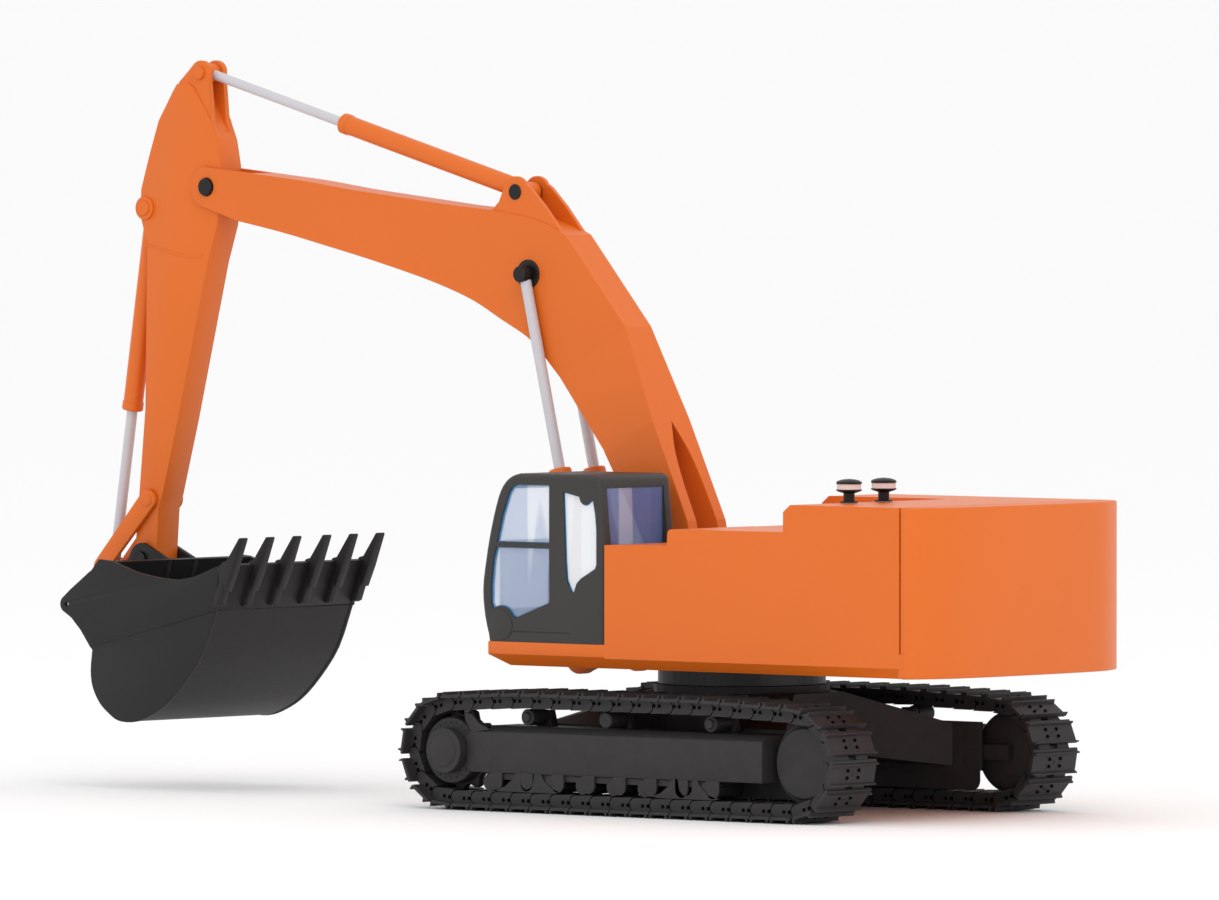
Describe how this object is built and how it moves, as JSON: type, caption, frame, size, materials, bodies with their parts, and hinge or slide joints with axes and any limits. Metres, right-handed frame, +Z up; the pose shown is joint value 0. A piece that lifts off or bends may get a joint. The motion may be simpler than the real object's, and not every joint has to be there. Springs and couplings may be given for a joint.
{
  "type": "radio-controlled tracked excavator",
  "caption": "Tracked model excavator with a slewing house, cab, cranked boom, stick and toothed bucket, moved by cylinders.",
  "frame": {"origin": "centre of the bounding box on the ground", "axes": "+X towards the bucket, +Y to the operator's left, +Z up"},
  "size_m": [0.64, 0.2, 0.3887],
  "materials": {
    "painted_orange": "gloss",
    "charcoal": "satin",
    "track_metal": "satin",
    "bucket_metal": "satin",
    "dark_steel": "satin",
    "bright_rod": "polished",
    "cab_plastic": "satin",
    "clear_window": "clear",
    "battery_wrap": "satin",
    "circuit_board": "satin"
  },
  "bodies": {
    "undercarriage": {"carbody": "charcoal", "slew_ring": "dark_steel", "track_frame_left": "charcoal", "track_chain_left": "track_metal", "idler_yoke_left": "dark_steel", "track_rollers_left": "track_metal", "drive_motor_left": "dark_steel", "track_frame_right": "charcoal", "track_chain_right": "track_metal", "idler_yoke_right": "dark_steel", "track_rollers_right": "track_metal", "drive_motor_right": "dark_steel"},
    "sprocket_left_body": {"sprocket_left": "track_metal"},
    "idler_left_body": {"idler_left": "track_metal"},
    "carrier_left_1_body": {"carrier_roller_left_1": "track_metal"},
    "carrier_left_2_body": {"carrier_roller_left_2": "track_metal"},
    "carrier_left_3_body": {"carrier_roller_left_3": "track_metal"},
    "sprocket_right_body": {"sprocket_right": "track_metal"},
    "idler_right_body": {"idler_right": "track_metal"},
    "carrier_right_1_body": {"carrier_roller_right_1": "track_metal"},
    "carrier_right_2_body": {"carrier_roller_right_2": "track_metal"},
    "carrier_right_3_body": {"carrier_roller_right_3": "track_metal"},
    "house": {"house_deck": "painted_orange", "body_cover": "painted_orange", "counterweight": "painted_orange", "cab_frame": "cab_plastic", "cab_glazing": "clear_window", "air_intake_left": "cab_plastic", "air_intake_right": "cab_plastic", "slew_motor": "dark_steel", "battery_pack": "battery_wrap", "receiver_board": "circuit_board", "boom_foot_pin": "charcoal", "boom_cylinder_base_pin": "charcoal"},
    "pinion": {"slew_pinion": "dark_steel"},
    "boom_body": {"boom": "painted_orange", "boom_rod_pin": "charcoal", "stick_cylinder_pin": "charcoal", "stick_pin": "charcoal"},
    "boom_barrel_left": {"boom_cylinder_barrel_left": "painted_orange"},
    "boom_rod_left": {"boom_cylinder_rod_left": "bright_rod"},
    "boom_barrel_right": {"boom_cylinder_barrel_right": "painted_orange"},
    "boom_rod_right": {"boom_cylinder_rod_right": "bright_rod"},
    "stick_body": {"stick": "painted_orange", "stick_rod_pin": "painted_orange", "bucket_cylinder_pin": "painted_orange", "rocker_pin": "painted_orange", "bucket_pin": "charcoal"},
    "stick_barrel": {"stick_cylinder_barrel": "painted_orange"},
    "stick_rod": {"stick_cylinder_rod": "bright_rod"},
    "rocker": {"rocker_link_left": "painted_orange", "rocker_link_right": "painted_orange", "linkage_pin": "painted_orange"},
    "link": {"bucket_link": "painted_orange"},
    "bucket_body": {"bucket": "bucket_metal", "cutting_edge": "bucket_metal", "bucket_link_pin": "charcoal"},
    "bucket_barrel": {"bucket_cylinder_barrel": "painted_orange"},
    "bucket_rod": {"bucket_cylinder_rod": "bright_rod"}
  },
  "joints": [
    {"name": "slew", "type": "hinge", "parent": "undercarriage", "child": "house", "pos_m": [-0.12425, 0, 0], "axis": [0, 0, 1], "continuous": true},
    {"name": "pinion_spin", "type": "hinge", "parent": "house", "child": "pinion", "pos_m": [-0.14825, 0, 0.07], "axis": [0, 0, 1], "continuous": true},
    {"name": "sprocket_left_spin", "type": "hinge", "parent": "undercarriage", "child": "sprocket_left_body", "pos_m": [-0.00425, 0.082, 0.0305], "axis": [0, 1, 0], "continuous": true},
    {"name": "idler_left_spin", "type": "hinge", "parent": "undercarriage", "child": "idler_left_body", "pos_m": [-0.23925, 0.082, 0.0305], "axis": [0, 1, 0], "continuous": true},
    {"name": "carrier_left_1_spin", "type": "hinge", "parent": "undercarriage", "child": "carrier_left_1_body", "pos_m": [-0.05325, 0.082, 0.0489], "axis": [0, 1, 0], "continuous": true},
    {"name": "carrier_left_2_spin", "type": "hinge", "parent": "undercarriage", "child": "carrier_left_2_body", "pos_m": [-0.10725, 0.082, 0.0489], "axis": [0, 1, 0], "continuous": true},
    {"name": "carrier_left_3_spin", "type": "hinge", "parent": "undercarriage", "child": "carrier_left_3_body", "pos_m": [-0.17725, 0.082, 0.0489], "axis": [0, 1, 0], "continuous": true},
    {"name": "sprocket_right_spin", "type": "hinge", "parent": "undercarriage", "child": "sprocket_right_body", "pos_m": [-0.00425, -0.082, 0.0305], "axis": [0, 1, 0], "continuous": true},
    {"name": "idler_right_spin", "type": "hinge", "parent": "undercarriage", "child": "idler_right_body", "pos_m": [-0.23925, -0.082, 0.0305], "axis": [0, 1, 0], "continuous": true},
    {"name": "carrier_right_1_spin", "type": "hinge", "parent": "undercarriage", "child": "carrier_right_1_body", "pos_m": [-0.05325, -0.082, 0.0489], "axis": [0, 1, 0], "continuous": true},
    {"name": "carrier_right_2_spin", "type": "hinge", "parent": "undercarriage", "child": "carrier_right_2_body", "pos_m": [-0.10725, -0.082, 0.0489], "axis": [0, 1, 0], "continuous": true},
    {"name": "carrier_right_3_spin", "type": "hinge", "parent": "undercarriage", "child": "carrier_right_3_body", "pos_m": [-0.17725, -0.082, 0.0489], "axis": [0, 1, 0], "continuous": true},
    {"name": "boom_lift", "type": "hinge", "parent": "house", "child": "boom_body", "pos_m": [-0.09625, 0, 0.112], "axis": [0, -1, 0], "range_deg": [-28, 5]},
    {"name": "boom_barrel_left_tilt", "type": "hinge", "parent": "house", "child": "boom_barrel_left", "pos_m": [-0.03465, 0.0138, 0.078], "axis": [0, -1, 0], "range_deg": [-27.74, 5.37]},
    {"name": "boom_rod_left_tilt", "type": "hinge", "parent": "boom_body", "child": "boom_rod_left", "pos_m": [0.01295, 0.0138, 0.2769], "axis": [0, -1, 0], "range_deg": [-0.64, 1.26]},
    {"name": "boom_barrel_right_tilt", "type": "hinge", "parent": "house", "child": "boom_barrel_right", "pos_m": [-0.03465, -0.0138, 0.078], "axis": [0, -1, 0], "range_deg": [-27.74, 5.37]},
    {"name": "boom_rod_right_tilt", "type": "hinge", "parent": "boom_body", "child": "boom_rod_right", "pos_m": [0.01295, -0.0138, 0.2769], "axis": [0, -1, 0], "range_deg": [-0.64, 1.26]},
    {"name": "stick_swing", "type": "hinge", "parent": "boom_body", "child": "stick_body", "pos_m": [0.23965, 0, 0.3207], "axis": [0, -1, 0], "range_deg": [-40, 5]},
    {"name": "stick_barrel_tilt", "type": "hinge", "parent": "boom_body", "child": "stick_barrel", "pos_m": [0.02285, 0, 0.3199], "axis": [0, -1, 0], "range_deg": [-6.28, 1.22]},
    {"name": "stick_rod_tilt", "type": "hinge", "parent": "stick_body", "child": "stick_rod", "pos_m": [0.24675, 0, 0.3815], "axis": [0, -1, 0], "range_deg": [-4.78, 34.72]},
    {"name": "bucket_curl", "type": "hinge", "parent": "stick_body", "child": "bucket_body", "pos_m": [0.28525, 0, 0.1215], "axis": [0, -1, 0], "range_deg": [-5, 50]},
    {"name": "rocker_tilt", "type": "hinge", "parent": "stick_body", "child": "rocker", "pos_m": [0.28145, 0, 0.1529], "axis": [0, -1, 0], "range_deg": [-3.21, 27.6]},
    {"name": "bucket_link_tilt", "type": "hinge", "parent": "rocker", "child": "link", "pos_m": [0.31525, 0, 0.1165], "axis": [0, -1, 0], "range_deg": [-25.25, 2.98]},
    {"name": "bucket_barrel_tilt", "type": "hinge", "parent": "stick_body", "child": "bucket_barrel", "pos_m": [0.28525, 0, 0.309], "axis": [0, -1, 0], "range_deg": [-1.02, 5.67]},
    {"name": "bucket_rod_tilt", "type": "hinge", "parent": "rocker", "child": "bucket_rod", "pos_m": [0.31525, 0, 0.1165], "axis": [0, -1, 0], "range_deg": [-22.43, 2.69]}
  ],
  "couplings": [
    {"joint": "pinion_spin", "follows": "slew", "ratio": -4},
    {"joint": "idler_left_spin", "follows": "sprocket_left_spin", "ratio": 1},
    {"joint": "carrier_left_1_spin", "follows": "sprocket_left_spin", "ratio": 4.7209},
    {"joint": "carrier_left_2_spin", "follows": "sprocket_left_spin", "ratio": 4.7209},
    {"joint": "carrier_left_3_spin", "follows": "sprocket_left_spin", "ratio": 4.7209},
    {"joint": "idler_right_spin", "follows": "sprocket_right_spin", "ratio": 1},
    {"joint": "carrier_right_1_spin", "follows": "sprocket_right_spin", "ratio": 4.7209},
    {"joint": "carrier_right_2_spin", "follows": "sprocket_right_spin", "ratio": 4.7209},
    {"joint": "carrier_right_3_spin", "follows": "sprocket_right_spin", "ratio": 4.7209},
    {"joint": "boom_barrel_left_tilt", "follows": "boom_lift", "ratio": 0.973},
    {"joint": "boom_rod_left_tilt", "follows": "boom_lift", "ratio": -0.027},
    {"joint": "boom_barrel_right_tilt", "follows": "boom_lift", "ratio": 0.973},
    {"joint": "boom_rod_right_tilt", "follows": "boom_lift", "ratio": -0.027},
    {"joint": "stick_barrel_tilt", "follows": "stick_swing", "ratio": 0.1445},
    {"joint": "stick_rod_tilt", "follows": "stick_swing", "ratio": -0.8555},
    {"joint": "rocker_tilt", "follows": "bucket_curl", "ratio": 0.542},
    {"joint": "bucket_link_tilt", "follows": "bucket_curl", "ratio": -0.495},
    {"joint": "bucket_barrel_tilt", "follows": "bucket_curl", "ratio": 0.1035},
    {"joint": "bucket_rod_tilt", "follows": "bucket_curl", "ratio": -0.4385}
  ]
}
